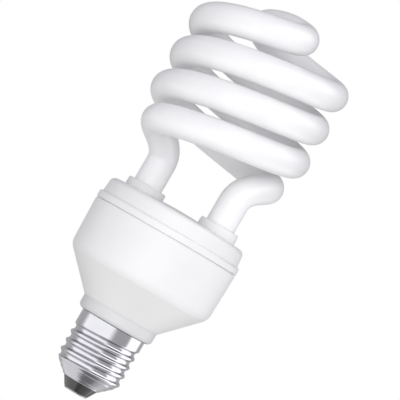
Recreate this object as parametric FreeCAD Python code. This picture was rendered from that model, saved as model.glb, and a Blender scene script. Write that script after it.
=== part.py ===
"""Spiral energy saving bulb with an E27 screw cap, in millimetres.

+Z runs along the lamp's axis, from the cap to the top of the spiral tube. The origin is the middle of the centre
contact's flat end. The two ends of the glass tube stand in the cover's collars, one at the right front and one at the
left back, and the tube and its fittings are the same when they are turned half a turn about the axis. The circuit
board lies across the top of the housing, with its components hanging below it.
"""
import FreeCAD, Part
import math
import os
from FreeCAD import Vector

X_AXIS = Vector(1, 0, 0)
Y_AXIS = Vector(0, 1, 0)
AXIS = Vector(0, 0, 1)
ORIGIN = Vector(0, 0, 0)
FULL_TURN = 2 * math.pi

# Centre contact and insulator
CONTACT_RADIUS = 4.7
CONTACT_THICKNESS = 0.5
CONTACT_ROUNDING = 0.2
INSULATOR_LOW_RADIUS = 4.9
INSULATOR_LEDGE = 0.1
INSULATOR_HEIGHT = 3.8
INSULATOR_ROUNDING = 0.4
INSULATOR_PLUG_HEIGHT = 1.9
LEAD_HOLE_GAP = 0.25

# Screw shell, to the outside sizes of the standard E27 thread
SHELL_WALL = 0.3
SHELL_RIM_RADIUS = 7.3
BOWL_WALL = 0.42
BOWL_HEIGHT = 5.6
BOWL_CORNER_RADIUS = 10.66
BOWL_CORNER_RISE = 2.3
BOWL_ROUNDING = 23.0
THREAD_CREST_RADIUS = 13.05
THREAD_DEPTH = 1.0
BAND_LENGTH = 4.4
SHELL_HEIGHT = 24.2

# Housing
SEAT_GAP = 0.1
STUB_WALL = 1.7
STUB_LENGTH = 12.5
STUB_ROUNDING = 0.5
STUB_FLARE = 1.0
NECK_RADIUS = 15.3
NECK_HEIGHT = 4.8
NECK_FOOT_ROUNDING = 1.9
NECK_FLOOR = 3.0
NECK_TOP_ROUNDING = 0.8
HOUSING_WALL = 1.8
CREASE_RADIUS = 27.8
CREASE_ROUNDING = 0.4
CONE_HEIGHT = 12.9
SHOULDER_RISE = 1.7
SHOULDER_ROUNDING = 5.8
WALL_LOW_RADIUS = 29.1
WALL_TOP_RADIUS = 29.65
WALL_HEIGHT = 19.0
SEAM_GROOVE_HEIGHT = 0.4
SEAM_GROOVE_DEPTH = 0.6
SNAP_DROP = 2.4
SNAP_HALF_HEIGHT = 0.7
SNAP_GROOVE_DEPTH = 0.45
SNAP_GAP = 0.1
RIB_COUNT = 4
RIB_FIRST_ANGLE = 45.0
RIB_THICKNESS = 1.6
RIB_REACH = 2.6
RIB_LENGTH = 10.3

# Cover with its two collars
SKIRT_DEPTH = 5.0
SKIRT_WALL = 1.7
RIM_BAND_RADIUS = 29.7
RIM_BAND_HEIGHT = 3.0
RIM_BAND_ROUNDING = 0.9
RIM_EDGE_ROUNDING = 0.3
COVER_LOW_RADIUS = 28.65
COVER_TOP_RADIUS = 28.1
COVER_HEIGHT = 9.1
COVER_CORNER = 2.2
COVER_INNER_CORNER = 1.0
COVER_WALL = 1.8
COVER_CROWN_RADIUS = 7.4
COVER_CROWN_RISE = 1.2
COLLAR_TOP_WALL = 1.97
COLLAR_LOW_WALL = 2.17
COLLAR_HEIGHT = 2.6
COLLAR_EDGE = 0.5
COLLAR_MOUTH = 0.3
COLLAR_GRIP = 5.5
COLLAR_ROOT = 1.0
SLEEVE_WALL = 1.0
SLEEVE_DEPTH = 7.8
CEMENT_THICKNESS = 1.1
CEMENT_LENGTH = 5.4
CEMENT_GAP = 0.05

# Glass tube
TUBE_RADIUS = 5.78
TUBE_GAP = 0.15
COIL_RADIUS = 27.55
COIL_PITCH = 28.37
COIL_LEFT_HEIGHT = 65.6
COIL_STEP = 20.0
LEG_RADIUS = 17.75
LEG_ANGLE = -30.0
LEG_BELOW_COVER = 11.0
LEG_STRAIGHT = 12.1
LEG_HANDLE = 10.8
LEG_BEND_STEPS = 5
COIL_HANDLE = 16.3
COIL_START_ANGLE = 42.0
BRIDGE_LEAVE_ANGLE = 195.0
BRIDGE_HEADING = 127.0
BRIDGE_BEND_RADIUS = 11.1
BRIDGE_HALF_STRAIGHT = 8.9
BRIDGE_RISE = 13.3
BRIDGE_SLOPE = 0.2
BRIDGE_STEP = 18.0

# Circuit board and what joins its components to it
BOARD_RADIUS = 26.6
BOARD_THICKNESS = 1.6
PIN_PROUD = 1.2
PIN_GAP = 0.1
THIN_LEAD_RADIUS = 0.3
STOUT_LEAD_RADIUS = 0.4
LEAD_BEND = 0.8

# Wires between the tube, the board and the cap
FILAMENT_SPREAD = 2.2
FILAMENT_DROP = 1.8
FILAMENT_BEND = 0.9
POST_SIDE = 0.9
POST_HEIGHT = 3.4
POST_OFFSET = 6.2
SUPPLY_WIRE_RADIUS = 0.55
SUPPLY_WIRE_PLACE = 9.1
SUPPLY_BEND = 3.0
CONTACT_LEAD_ANGLE = 250.0
SHELL_LEAD_ANGLE = 262.0
LEAD_LOW_GAP = 2.0
CONTACT_LEAD_DIP = 6.0

# Smoothing capacitor, which hangs down the neck
SMOOTHING_RADIUS = 8.0
SMOOTHING_LENGTH = 26.0
SMOOTHING_DROP = 14.3
SMOOTHING_PITCH = 7.5
SMOOTHING_ROUNDING = 0.8
CRIMP_DROP = 2.6
CRIMP_DEPTH = 0.6
CRIMP_HALF_HEIGHT = 0.8

# Main choke: two E cores, with the bobbin on their middle legs
CHOKE_PLACE = (-14.5, 0.0)
CHOKE_DROP = 6.8
CORE_WIDTH = 16.0
CORE_HALF_LENGTH = 7.0
CORE_THICKNESS = 5.0
CORE_BACK = 3.0
CORE_MIDDLE_LEG = 4.0
CORE_OUTER_LEG = 3.0
BOBBIN_GAP = 0.1
BOBBIN_WALL = 0.7
FLANGE_THICKNESS = 0.7
FLANGE_HEIGHT = 11.6
FLANGE_INSET = 0.2
WINDING_INSET = 0.4
WINDING_ROUNDING = 1.5
WINDING_GAP = 0.05
RAIL_WIDTH = 3.0
RAIL_HEIGHT = 2.4
RAIL_REACH = 5.0
CHOKE_PIN_SPREAD = 7.0
CHOKE_PIN_DEPTH = 1.5
CHOKE_PIN_GAP = 0.05

# Drive transformer: a small ring core with three windings
RING_PLACE = (9.5, 0.0)
RING_DROP = 4.3
RING_OUTER_RADIUS = 5.0
RING_INNER_RADIUS = 3.0
RING_HEIGHT = 4.0
RING_ROUNDING = 0.4
RING_WIRE_GAP = 0.1
RING_WIRE_BEND = 0.6
RING_WIRE_STEP = 16.0
RING_WINDING_TURNS = (5, 3, 3)
RING_WINDING_SPACING = 120.0

# Switching transistors
TRANSISTOR_X = 18.0
TRANSISTOR_Y = 8.0
TRANSISTOR_SIZE = (3.0, 8.0, 11.0)
TRANSISTOR_DROP = 3.3
TRANSISTOR_PITCH = 2.3
TRANSISTOR_LEAD = (0.5, 0.8)
TRANSISTOR_HOLE_RADIUS = 1.6
TRANSISTOR_HOLE_RISE = 3.2
TRANSISTOR_CHAMFER = 0.5

# Film capacitors
FILM_Y = 17.0
FILM_THICKNESS = 5.0
FILM_WIDTH = 13.0
FILM_PITCH = 10.0
FILM_DROP = 0.4
FILM_ROUNDING = 0.6
RESONANT_X = 8.0
RESONANT_HEIGHT = 10.0
BLOCKING_X = -8.0
BLOCKING_HEIGHT = 9.0

# Disc shaped components, which stand on edge below the board
DISC_ROUNDING = 0.6
START_PLACE = (0.0, 10.5)
START_RADIUS = 3.0
START_THICKNESS = 2.5
START_DROP = 1.3
START_PITCH = 3.0
THERMISTOR_PLACE = (19.5, 0.0)
THERMISTOR_RADIUS = 3.5
THERMISTOR_THICKNESS = 3.0
THERMISTOR_DROP = 2.3
THERMISTOR_PITCH = 4.0

# Filter choke, a drum core with a winding
DRUM_PLACE = (-8.0, -17.0)
DRUM_RADIUS = 4.0
DRUM_CORE_RADIUS = 2.0
DRUM_LENGTH = 10.0
DRUM_FLANGE = 1.2
DRUM_DROP = 0.6
DRUM_PITCH = 5.0
DRUM_WINDING_RADIUS = 3.6

# Components on a wire that is bent up through the board at both ends
DIODE_PLACES = ((1.0, -15.0), (4.5, -15.0), (8.0, -15.0), (11.5, -15.0))
DIODE_RADIUS = 1.35
DIODE_LENGTH = 5.2
DIODE_SPREAD = 10.0
DIODE_DROP = 1.8
DIAC_PLACE = (9.0, 9.5)
DIAC_RADIUS = 0.9
DIAC_LENGTH = 3.6
DIAC_SPREAD = 8.0
RESISTOR_PLACES = ((9.0, 12.2), (10.0, -8.2), (-9.0, 11.2))
RESISTOR_RADIUS = 1.15
RESISTOR_LENGTH = 6.3
RESISTOR_SPREAD = 10.0
RESISTOR_DROP = 1.6
FUSE_PLACE = (-17.0, -14.0)
FUSE_RADIUS = 1.75
FUSE_LENGTH = 9.0
FUSE_DROP = 0.8
FUSE_PITCH = 3.4
FUSE_LOOP = 1.6

# Heights worked out from the sizes above
SHELL_LOW_Z = CONTACT_THICKNESS + INSULATOR_HEIGHT
THREAD_LOW_Z = SHELL_LOW_Z + BOWL_HEIGHT
SHELL_TOP_Z = SHELL_LOW_Z + SHELL_HEIGHT
BAND_LOW_Z = SHELL_TOP_Z - BAND_LENGTH
STUB_LOW_Z = SHELL_TOP_Z - STUB_LENGTH
CONE_LOW_Z = SHELL_TOP_Z + NECK_HEIGHT
CREASE_Z = CONE_LOW_Z + CONE_HEIGHT
WALL_LOW_Z = CREASE_Z + SHOULDER_RISE
SEAM_Z = WALL_LOW_Z + WALL_HEIGHT
SNAP_Z = SEAM_Z - SNAP_DROP
SKIRT_LOW_Z = SEAM_Z - SKIRT_DEPTH
BOARD_TOP_Z = SKIRT_LOW_Z
BOARD_LOW_Z = BOARD_TOP_Z - BOARD_THICKNESS
PIN_TOP_Z = BOARD_TOP_Z + PIN_PROUD
COVER_EDGE_Z = SEAM_Z + COVER_HEIGHT
COVER_TOP_Z = COVER_EDGE_Z + COVER_CROWN_RISE
COLLAR_TOP_Z = COVER_TOP_Z + COLLAR_HEIGHT
GRIP_LOW_Z = COLLAR_TOP_Z - COLLAR_GRIP
SLEEVE_LOW_Z = COVER_EDGE_Z - SLEEVE_DEPTH
TUBE_FOOT_Z = COVER_TOP_Z - LEG_BELOW_COVER
LEG_TOP_Z = COVER_TOP_Z + LEG_STRAIGHT
COIL_LEFT_Z = COVER_TOP_Z + COIL_LEFT_HEIGHT

# Radii worked out from the sizes above
THREAD_ROOT_RADIUS = THREAD_CREST_RADIUS - THREAD_DEPTH
SHELL_INNER_RADIUS = THREAD_ROOT_RADIUS - SHELL_WALL
BAND_INNER_RADIUS = THREAD_CREST_RADIUS - SHELL_WALL
STUB_RADIUS = SHELL_INNER_RADIUS - SEAT_GAP
STUB_BORE_RADIUS = STUB_RADIUS - STUB_WALL
SPIGOT_RADIUS = BAND_INNER_RADIUS - SEAT_GAP
HOUSING_INNER_RADIUS = WALL_TOP_RADIUS - HOUSING_WALL
SKIRT_RADIUS = HOUSING_INNER_RADIUS - SEAT_GAP
SKIRT_BORE_RADIUS = SKIRT_RADIUS - SKIRT_WALL
COLLAR_BORE_RADIUS = TUBE_RADIUS + TUBE_GAP
SLEEVE_BORE_RADIUS = COLLAR_BORE_RADIUS + CEMENT_THICKNESS


def polar(radius, degrees, height=0.0):
    """A point at a distance and an angle from the lamp's axis."""
    angle = math.radians(degrees)
    return Vector(radius * math.cos(angle), radius * math.sin(angle), height)


def section(corners):
    """A closed face in the XZ plane, from corners given as (radius, height, rounding)."""
    points = [Vector(corner[0], 0, corner[1]) for corner in corners]
    count = len(corners)
    starts, ends, arcs = [], [], []
    for i in range(count):
        here = points[i]
        rounding = corners[i][2]
        to_before = (points[i - 1] - here).normalize()
        to_after = (points[(i + 1) % count] - here).normalize()
        half = to_before.getAngle(to_after) / 2
        reach = rounding / math.tan(half)
        inward = (to_before + to_after).normalize() if rounding else ORIGIN
        starts.append(here + to_before * reach)
        arcs.append(here + inward * (rounding / math.sin(half) - rounding))
        ends.append(here + to_after * reach)
    edges = []
    for i in range(count):
        after = starts[(i + 1) % count]
        if corners[i][2]:
            edges.append(Part.Arc(starts[i], arcs[i], ends[i]).toShape())
        if after.distanceToPoint(ends[i]) > 1e-6:
            edges.append(Part.LineSegment(ends[i], after).toShape())
    return Part.Face(Part.Wire(edges))


def turned(corners, centre=ORIGIN, axis=AXIS):
    """A solid of revolution whose section is given from its own axis."""
    solid = section(corners).revolve(ORIGIN, AXIS, 360)
    solid.Placement = FreeCAD.Placement(centre, FreeCAD.Rotation(AXIS, axis))
    return solid


def cylinder(radius, low, high, place=(0.0, 0.0)):
    """An upright cylinder between two heights."""
    return Part.makeCylinder(radius, high - low, Vector(place[0], place[1], low))


def block(size, centre):
    """A box by its size and its middle."""
    corner = centre - Vector(*size) * 0.5
    return Part.makeBox(size[0], size[1], size[2], corner)


def route(points, bend=None):
    """Straight runs joined by tangent arcs, all of one bend radius or else as wide as the runs allow."""
    edges = []
    start = points[0]
    for before, here, after in zip(points, points[1:], points[2:]):
        to_before = (before - here).normalize()
        to_after = (after - here).normalize()
        half_turn = (math.pi - to_before.getAngle(to_after)) / 2
        shorter = min(before.distanceToPoint(here), after.distanceToPoint(here))
        radius = bend or 0.5 * shorter / math.tan(half_turn)
        reach = radius * math.tan(half_turn)
        arrival = here + to_before * reach
        departure = here + to_after * reach
        middle = here + (to_before + to_after).normalize() * (radius / math.cos(half_turn) - radius)
        if arrival.distanceToPoint(start) > 1e-4:
            edges.append(Part.LineSegment(start, arrival).toShape())
        edges.append(Part.Arc(arrival, middle, departure).toShape())
        start = departure
    edges.append(Part.LineSegment(start, points[-1]).toShape())
    return Part.Wire(edges)


def swept(points, radius, bend=None):
    """A round bar along a route."""
    ring = Part.Wire(Part.Circle(points[0], points[1] - points[0], radius).toShape())
    return route(points, bend).makePipeShell([ring], True, False)


def pair(place, spread, along=X_AXIS):
    """The places of two leads, spread about the middle of their component."""
    half = along * (spread / 2)
    return [(place[0] - half.x, place[1] - half.y), (place[0] + half.x, place[1] + half.y)]


def leads(places, radius, low):
    """Straight leads from a component up through the board."""
    return [cylinder(radius, low, PIN_TOP_Z, place) for place in places]


def save(name, shapes):
    """Writes one piece, as one solid or a group of separate solids."""
    shape = Part.makeCompound(shapes) if isinstance(shapes, list) else shapes
    shape.exportStep(os.path.join("parts", name + ".step"))


# Glass tube: one strand is worked out from its foot to the middle of the bridge, and the other is its half turn

def coil_point(degrees, radius=COIL_RADIUS):
    """A point of the coil at an angle, counted on through the turns. The coil passes the left at 540 degrees."""
    height = COIL_LEFT_Z + COIL_PITCH * (degrees - 540.0) / 360.0
    return polar(radius, degrees, height)


def coil_heading(degrees):
    """The direction in which the coil climbs at an angle."""
    climb = COIL_PITCH / (FULL_TURN * COIL_RADIUS)
    return (polar(1.0, degrees + 90.0) + Vector(0, 0, climb)).normalize()


def leg_bend():
    """Points on the smooth bend from the leg's straight top to the start of the coil."""
    start = polar(LEG_RADIUS, LEG_ANGLE, LEG_TOP_Z)
    end = coil_point(COIL_START_ANGLE)
    bend = Part.BezierCurve()
    bend.setPoles([
        start,
        start + AXIS * LEG_HANDLE,
        end - coil_heading(COIL_START_ANGLE) * COIL_HANDLE,
        end,
    ])
    return [bend.value(i / LEG_BEND_STEPS) for i in range(LEG_BEND_STEPS)]


def coil_turns():
    """Points round the coil, as far outside it as makes their arcs lie on it."""
    turn = 360.0 + BRIDGE_LEAVE_ANGLE - COIL_START_ANGLE
    count = round(turn / COIL_STEP)
    radius = COIL_RADIUS / math.cos(math.radians(turn / count / 2))
    return [coil_point(COIL_START_ANGLE + turn * i / count, radius) for i in range(count)]


def bridge_plan():
    """The bridge seen from above: two tangent arcs, the second tight, and a straight run to the axis.

    The wide arc touches the coil's circle where the bridge leaves it, and holds the tight arc inside it.
    """
    heading = polar(1.0, BRIDGE_HEADING)
    bend_end = heading * -BRIDGE_HALF_STRAIGHT
    tight_centre = bend_end + polar(BRIDGE_BEND_RADIUS, BRIDGE_HEADING + 90.0)
    leave = polar(1.0, BRIDGE_LEAVE_ANGLE)
    room = COIL_RADIUS - BRIDGE_BEND_RADIUS
    shift = (room ** 2 - tight_centre.dot(tight_centre)) / (2 * (room - leave.dot(tight_centre)))
    wide_centre = leave * shift
    across = tight_centre - wide_centre
    meeting = math.degrees(math.atan2(across.y, across.x)) % 360.0
    return wide_centre, COIL_RADIUS - shift, meeting, tight_centre, bend_end


def bridge():
    """Points from where the tube leaves the coil to the middle of the bridge.

    The tube climbs a little more steeply than the coil on the wide arc, and levels out on the axis.
    """
    wide_centre, wide_radius, meeting, tight_centre, bend_end = bridge_plan()
    stop = BRIDGE_HEADING + 270.0
    wide_turn = meeting - BRIDGE_LEAVE_ANGLE
    tight_turn = stop - meeting
    wide_count = round(wide_turn / BRIDGE_STEP)
    tight_count = round(tight_turn / BRIDGE_STEP)
    wide_length = math.radians(wide_turn) * wide_radius
    bend_length = math.radians(tight_turn) * BRIDGE_BEND_RADIUS
    tight_length = bend_length + BRIDGE_HALF_STRAIGHT
    plan = []
    for i in range(wide_count):
        share = i / wide_count
        plan.append((wide_length * share, wide_centre + polar(wide_radius, BRIDGE_LEAVE_ANGLE + wide_turn * share)))
    for i in range(tight_count):
        share = i / tight_count
        place = tight_centre + polar(BRIDGE_BEND_RADIUS, meeting + tight_turn * share)
        plan.append((wide_length + bend_length * share, place))
    plan.append((wide_length + bend_length, bend_end))
    plan.append((wide_length + bend_length + BRIDGE_HALF_STRAIGHT / 2, bend_end * 0.5))
    leave_z = coil_point(360.0 + BRIDGE_LEAVE_ANGLE).z
    coil_slope = COIL_PITCH / (FULL_TURN * COIL_RADIUS)
    meeting_z = leave_z + 0.5 * (coil_slope + BRIDGE_SLOPE) * wide_length
    rise = COIL_LEFT_Z + BRIDGE_RISE - meeting_z
    points = []
    for run, place in plan:
        if run < wide_length:
            share = run / wide_length
            height = leave_z + wide_length * (coil_slope * share + (BRIDGE_SLOPE - coil_slope) * share ** 2 / 2)
        else:
            share = (run - wide_length) / tight_length
            ease_in = share ** 3 - 2 * share ** 2 + share
            ease = 3 * share ** 2 - 2 * share ** 3
            height = meeting_z + BRIDGE_SLOPE * tight_length * ease_in + rise * ease
        points.append(Vector(place.x, place.y, height))
    return points


def glass_tube():
    """The bent tube, swept as one piece from one foot to the other."""
    strand = [polar(LEG_RADIUS, LEG_ANGLE, TUBE_FOOT_Z)] + leg_bend() + coil_turns() + bridge()
    middle = Vector(0, 0, COIL_LEFT_Z + BRIDGE_RISE)
    other = [Vector(-point.x, -point.y, point.z) for point in reversed(strand)]
    points = strand + [middle] + other
    tube = swept(points, TUBE_RADIUS)
    print("tube length %.1f, volume %.0f" % (route(points).Length, tube.Volume))
    return tube


def leg_places():
    """The places of the tube's two legs."""
    return [polar(LEG_RADIUS, LEG_ANGLE), polar(LEG_RADIUS, LEG_ANGLE + 180.0)]


def tube_cement():
    """The ring of cement round each leg, in the cover's sleeve."""
    rings = []
    for leg in leg_places():
        outer = cylinder(SLEEVE_BORE_RADIUS - CEMENT_GAP, GRIP_LOW_Z - CEMENT_LENGTH, GRIP_LOW_Z, (leg.x, leg.y))
        inner = cylinder(TUBE_RADIUS + CEMENT_GAP, GRIP_LOW_Z - CEMENT_LENGTH, GRIP_LOW_Z, (leg.x, leg.y))
        rings.append(outer.cut(inner))
    return rings


# Housing and cover

def snap_bulge(radius, depth, half_height):
    """The three corners of the snap ring, from its top down."""
    return [
        (radius, SNAP_Z + half_height, 0),
        (radius + depth, SNAP_Z, 0),
        (radius, SNAP_Z - half_height, 0),
    ]


def housing():
    """The moulded lower casing: stub in the screw shell, neck, cone and wall, with ribs under the board."""
    cone_length = math.hypot(CREASE_RADIUS - NECK_RADIUS, CONE_HEIGHT)
    wall_in = HOUSING_WALL * CONE_HEIGHT / cone_length
    wall_up = HOUSING_WALL * (CREASE_RADIUS - NECK_RADIUS) / cone_length
    neck_bore = NECK_RADIUS - HOUSING_WALL
    neck_bore_top = CONE_LOW_Z + wall_up - (HOUSING_WALL - wall_in) * CONE_HEIGHT / (CREASE_RADIUS - NECK_RADIUS)
    groove_radius = WALL_TOP_RADIUS - SEAM_GROOVE_DEPTH
    shell = turned([
        (STUB_BORE_RADIUS, STUB_LOW_Z, 0),
        (STUB_RADIUS, STUB_LOW_Z, STUB_ROUNDING),
        (STUB_RADIUS, BAND_LOW_Z, 0),
        (SPIGOT_RADIUS, BAND_LOW_Z + STUB_FLARE, 0),
        (SPIGOT_RADIUS, SHELL_TOP_Z, 0),
        (NECK_RADIUS, SHELL_TOP_Z, NECK_FOOT_ROUNDING),
        (NECK_RADIUS, CONE_LOW_Z, NECK_TOP_ROUNDING),
        (CREASE_RADIUS, CREASE_Z, CREASE_ROUNDING),
        (WALL_LOW_RADIUS, WALL_LOW_Z, SHOULDER_ROUNDING),
        (WALL_TOP_RADIUS, SEAM_Z - SEAM_GROOVE_HEIGHT, 0),
        (groove_radius, SEAM_Z - SEAM_GROOVE_HEIGHT, 0),
        (groove_radius, SEAM_Z, 0),
        (HOUSING_INNER_RADIUS, SEAM_Z, 0),
        *snap_bulge(HOUSING_INNER_RADIUS, SNAP_GROOVE_DEPTH, SNAP_HALF_HEIGHT),
        (HOUSING_INNER_RADIUS, BOARD_LOW_Z, 0),
        (WALL_LOW_RADIUS - HOUSING_WALL, WALL_LOW_Z + wall_up / 2, SHOULDER_ROUNDING - HOUSING_WALL),
        (CREASE_RADIUS - wall_in, CREASE_Z + wall_up, 0),
        (neck_bore, neck_bore_top, 0),
        (neck_bore, SHELL_TOP_Z + NECK_FLOOR, 0),
        (STUB_BORE_RADIUS, SHELL_TOP_Z, 0),
    ])
    ribs = []
    for i in range(RIB_COUNT):
        middle_radius = HOUSING_INNER_RADIUS - (RIB_REACH - HOUSING_WALL / 2) / 2
        rib = block((RIB_REACH + HOUSING_WALL / 2, RIB_THICKNESS, RIB_LENGTH),
                    Vector(middle_radius, 0, BOARD_LOW_Z - RIB_LENGTH / 2))
        rib.rotate(ORIGIN, AXIS, RIB_FIRST_ANGLE + i * 360.0 / RIB_COUNT)
        ribs.append(rib)
    return shell.fuse(ribs).removeSplitter()


def cover():
    """The moulded top with its snap skirt, and a collar and inner sleeve for each leg of the tube."""
    bead = SNAP_GROOVE_DEPTH - SNAP_GAP
    bead_half_height = SNAP_HALF_HEIGHT - SNAP_GAP
    shell = turned([
        (SKIRT_BORE_RADIUS, SKIRT_LOW_Z, 0),
        (SKIRT_RADIUS, SKIRT_LOW_Z, 0),
        *reversed(snap_bulge(SKIRT_RADIUS, bead, bead_half_height)),
        (SKIRT_RADIUS, SEAM_Z, 0),
        (RIM_BAND_RADIUS, SEAM_Z, RIM_EDGE_ROUNDING),
        (RIM_BAND_RADIUS, SEAM_Z + RIM_BAND_HEIGHT, RIM_BAND_ROUNDING),
        (COVER_LOW_RADIUS, SEAM_Z + RIM_BAND_HEIGHT, 0),
        (COVER_TOP_RADIUS, COVER_EDGE_Z, COVER_CORNER),
        (COVER_CROWN_RADIUS, COVER_TOP_Z, 0),
        (0, COVER_TOP_Z, 0),
        (0, COVER_TOP_Z - COVER_WALL, 0),
        (COVER_CROWN_RADIUS, COVER_TOP_Z - COVER_WALL, 0),
        (COVER_TOP_RADIUS - COVER_WALL, COVER_EDGE_Z - COVER_WALL, COVER_INNER_CORNER),
    ])
    low_radius = TUBE_RADIUS + COLLAR_LOW_WALL
    top_radius = TUBE_RADIUS + COLLAR_TOP_WALL
    root_z = COVER_EDGE_Z - COLLAR_ROOT
    for leg in leg_places():
        collar = turned([
            (COLLAR_BORE_RADIUS, GRIP_LOW_Z, 0),
            (SLEEVE_BORE_RADIUS, GRIP_LOW_Z, 0),
            (SLEEVE_BORE_RADIUS, SLEEVE_LOW_Z, 0),
            (SLEEVE_BORE_RADIUS + SLEEVE_WALL, SLEEVE_LOW_Z, 0),
            (SLEEVE_BORE_RADIUS + SLEEVE_WALL, root_z, 0),
            (low_radius, root_z, 0),
            (top_radius, COLLAR_TOP_Z, COLLAR_EDGE),
            (COLLAR_BORE_RADIUS, COLLAR_TOP_Z, COLLAR_MOUTH),
        ], leg)
        place = (leg.x, leg.y)
        shell = shell.cut(cylinder(low_radius - COLLAR_EDGE, SLEEVE_LOW_Z, COLLAR_TOP_Z, place)).fuse(collar)
    return shell.removeSplitter()


# Screw cap

def screw_shell():
    """The metal cap: a bowl that narrows to the insulator, the thread's sleeve and the plain band."""
    corner_z = SHELL_LOW_Z + BOWL_CORNER_RISE
    return turned([
        (SHELL_RIM_RADIUS - BOWL_WALL, SHELL_LOW_Z, 0),
        (SHELL_RIM_RADIUS, SHELL_LOW_Z, 0),
        (BOWL_CORNER_RADIUS, corner_z, BOWL_ROUNDING),
        (THREAD_CREST_RADIUS, THREAD_LOW_Z, 0),
        (THREAD_CREST_RADIUS, SHELL_TOP_Z, 0),
        (BAND_INNER_RADIUS, SHELL_TOP_Z, 0),
        (BAND_INNER_RADIUS, BAND_LOW_Z + STUB_FLARE, 0),
        (SHELL_INNER_RADIUS, BAND_LOW_Z, 0),
        (SHELL_INNER_RADIUS, THREAD_LOW_Z + SHELL_WALL, 0),
        (THREAD_CREST_RADIUS - BOWL_WALL - SHELL_WALL, THREAD_LOW_Z, 0),
        (BOWL_CORNER_RADIUS - BOWL_WALL, corner_z, BOWL_ROUNDING / 2),
    ])


def insulator():
    """The black glass cone between the shell and the contact, with its plug inside the shell's bowl."""
    hole_radius = SUPPLY_WIRE_RADIUS + LEAD_HOLE_GAP
    plug_radius = SHELL_RIM_RADIUS - BOWL_WALL - SEAT_GAP
    top_z = SHELL_LOW_Z + INSULATOR_PLUG_HEIGHT
    return turned([
        (hole_radius, CONTACT_THICKNESS, 0),
        (INSULATOR_LOW_RADIUS, CONTACT_THICKNESS, INSULATOR_ROUNDING),
        (SHELL_RIM_RADIUS - INSULATOR_LEDGE, SHELL_LOW_Z, 0),
        (plug_radius, SHELL_LOW_Z, 0),
        (plug_radius, top_z, 0),
        (hole_radius, top_z, 0),
    ])


def centre_contact():
    """The flat disc that the lamp rests on in its holder."""
    return turned([
        (0, 0, 0),
        (CONTACT_RADIUS, 0, CONTACT_ROUNDING),
        (CONTACT_RADIUS, CONTACT_THICKNESS, 0),
        (0, CONTACT_THICKNESS, 0),
    ])


# Main choke

def choke_core(side):
    """One E core, whose three legs point at the other core. Side is -1 at the front and 1 at the back."""
    middle_z = BOARD_LOW_Z - CHOKE_DROP
    centre = Vector(CHOKE_PLACE[0], CHOKE_PLACE[1] + side * CORE_HALF_LENGTH / 2, middle_z)
    window = CORE_WIDTH / 2 - CORE_OUTER_LEG - CORE_MIDDLE_LEG / 2
    leg_length = CORE_HALF_LENGTH - CORE_BACK
    core = block((CORE_WIDTH, CORE_HALF_LENGTH, CORE_THICKNESS), centre)
    for across in (-1, 1):
        offset = across * (CORE_MIDDLE_LEG + window) / 2
        hollow = Vector(CHOKE_PLACE[0] + offset, CHOKE_PLACE[1] + side * leg_length / 2, middle_z)
        core = core.cut(block((window, leg_length, CORE_THICKNESS), hollow))
    return core


def bobbin_length():
    """The bobbin's length between the backs of the two cores."""
    return 2 * (CORE_HALF_LENGTH - CORE_BACK - BOBBIN_GAP)


def bobbin_sleeve():
    """The width and height of the sleeve that the main winding lies on."""
    room = 2 * (BOBBIN_GAP + BOBBIN_WALL)
    return CORE_MIDDLE_LEG + room, CORE_THICKNESS + room


def flange_width():
    """The width of the bobbin's flanges, which stand in the cores' windows."""
    return CORE_WIDTH - 2 * (CORE_OUTER_LEG + FLANGE_INSET)


def choke_pin_places():
    """The places of the four pins of the main choke."""
    places = []
    for side in (-1, 1):
        places += pair((CHOKE_PLACE[0], CHOKE_PLACE[1] + side * RAIL_REACH), CHOKE_PIN_SPREAD)
    return places


def choke_bobbin():
    """The moulded bobbin: a sleeve with two flanges, and a rail on each flange that holds two pins."""
    centre = Vector(CHOKE_PLACE[0], CHOKE_PLACE[1], BOARD_LOW_Z - CHOKE_DROP)
    width, height = bobbin_sleeve()
    length = bobbin_length()
    bobbin = block((width, length, height), centre)
    for side in (-1, 1):
        flange_at = centre + Y_AXIS * (side * (length - FLANGE_THICKNESS) / 2)
        bobbin = bobbin.fuse(block((flange_width(), FLANGE_THICKNESS, FLANGE_HEIGHT), flange_at))
        rail_at = Vector(centre.x, centre.y + side * RAIL_REACH, BOARD_LOW_Z - RAIL_HEIGHT / 2)
        bobbin = bobbin.fuse(block((flange_width(), RAIL_WIDTH, RAIL_HEIGHT), rail_at))
    hole = (CORE_MIDDLE_LEG + 2 * BOBBIN_GAP, 2 * CORE_HALF_LENGTH, CORE_THICKNESS + 2 * BOBBIN_GAP)
    bobbin = bobbin.cut(block(hole, centre))
    for place in choke_pin_places():
        pin_radius = THIN_LEAD_RADIUS + CHOKE_PIN_GAP
        bobbin = bobbin.cut(cylinder(pin_radius, BOARD_LOW_Z - CHOKE_PIN_DEPTH, BOARD_LOW_Z, place))
    return bobbin.removeSplitter()


def choke_winding():
    """The main winding, as one block of wire round the bobbin's sleeve."""
    centre = Vector(CHOKE_PLACE[0], CHOKE_PLACE[1], BOARD_LOW_Z - CHOKE_DROP)
    width, height = bobbin_sleeve()
    length = bobbin_length() - 2 * (FLANGE_THICKNESS + WINDING_GAP)
    outside = block((flange_width() - WINDING_INSET, length, FLANGE_HEIGHT - WINDING_INSET), centre)
    corners = [edge for edge in outside.Edges if abs(edge.tangentAt(edge.FirstParameter).y) > 0.5]
    outside = outside.makeFillet(WINDING_ROUNDING, corners)
    return outside.cut(block((width + 2 * WINDING_GAP, length, height + 2 * WINDING_GAP), centre))


# Drive transformer

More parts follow.
